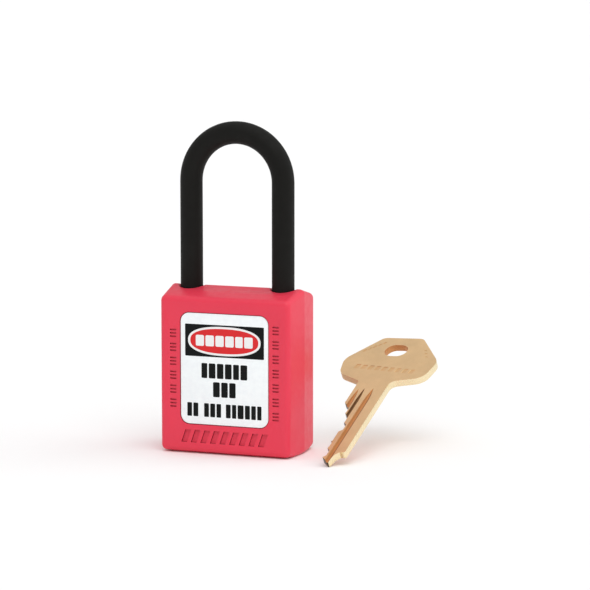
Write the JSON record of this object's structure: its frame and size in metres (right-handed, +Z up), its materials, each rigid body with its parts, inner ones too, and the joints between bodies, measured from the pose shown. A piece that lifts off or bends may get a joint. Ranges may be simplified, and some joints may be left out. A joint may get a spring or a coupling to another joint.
{
  "type": "safety padlock",
  "caption": "Upright lockout padlock: drafted red plastic body with a white label, tall black nylon shackle locked by two latches, and a cut brass key.",
  "frame": {"origin": "centre of the flat foot of the padlock body, on the surface it stands on", "axes": "+Z up along the shackle legs; -Y towards the front label; +X towards the toe leg, the pin chambers and the key"},
  "size_m": [0.067, 0.0515, 0.0878],
  "materials": {
    "body_plastic": "satin moulded thermoplastic, coral red",
    "cover_plastic": "moulded thermoplastic, coral red",
    "label_film": "white printed polyester film",
    "cylinder_brass": "machined brass",
    "plug_brass": "turned brass",
    "pin_brass": "turned brass",
    "chassis_plastic": "black glass-filled nylon",
    "steel": "zinc-plated steel",
    "shackle_nylon": "satin black nylon",
    "key_brass": "tumbled brass, satin"
  },
  "bodies": {
    "case": {"body_shell": "body_plastic", "bottom_cover": "cover_plastic", "label_front": "label_film", "label_rear": "label_film", "cylinder_housing": "cylinder_brass", "pin_cap": "cylinder_brass", "chassis_lower": "chassis_plastic", "chassis_upper": "chassis_plastic", "retainer_pin": "steel", "shackle_spring": "steel", "driver_pin_1": "steel", "driver_pin_2": "steel", "driver_pin_3": "steel", "driver_pin_4": "steel", "driver_pin_5": "steel", "driver_pin_6": "steel", "pin_spring_1": "steel", "pin_spring_2": "steel", "pin_spring_3": "steel", "pin_spring_4": "steel", "pin_spring_5": "steel", "pin_spring_6": "steel"},
    "plug": {"plug": "plug_brass", "plug_clip": "steel", "drive_cam": "steel", "key_pin_1": "pin_brass", "key_pin_2": "pin_brass", "key_pin_3": "pin_brass", "key_pin_4": "pin_brass", "key_pin_5": "pin_brass", "key_pin_6": "pin_brass"},
    "latch_left": {"latch_left": "steel"},
    "latch_right": {"latch_right": "steel"},
    "shackle": {"shackle": "shackle_nylon"},
    "key": {"key": "key_brass"}
  },
  "joints": [
    {"name": "plug_turn", "type": "hinge", "parent": "case", "child": "plug", "pos_m": [0, 0, 0], "axis": [0, 0, 1], "range_deg": [0, 90]},
    {"name": "latch_left_slide", "type": "slide", "parent": "case", "child": "latch_left", "axis": [1, 0, 0], "range_m": [0, 0.0042]},
    {"name": "latch_right_slide", "type": "slide", "parent": "case", "child": "latch_right", "axis": [-1, 0, 0], "range_m": [0, 0.0042]},
    {"name": "shackle_lift", "type": "slide", "parent": "case", "child": "shackle", "axis": [0, 0, 1], "range_m": [0, 0.0113], "deforming": ["shackle_spring"]},
    {"name": "key_lift", "type": "slide", "parent": "case", "child": "key", "axis": [0, 0, 1], "range_m": [0, 0.06]}
  ],
  "couplings": [
    {"joint": "latch_left_slide", "follows": "plug_turn", "m_per_rad": 0.0026738},
    {"joint": "latch_right_slide", "follows": "plug_turn", "m_per_rad": 0.0026738},
    {"joint": "shackle_lift", "follows": "plug_turn", "m_per_rad": 0.0071938}
  ]
}
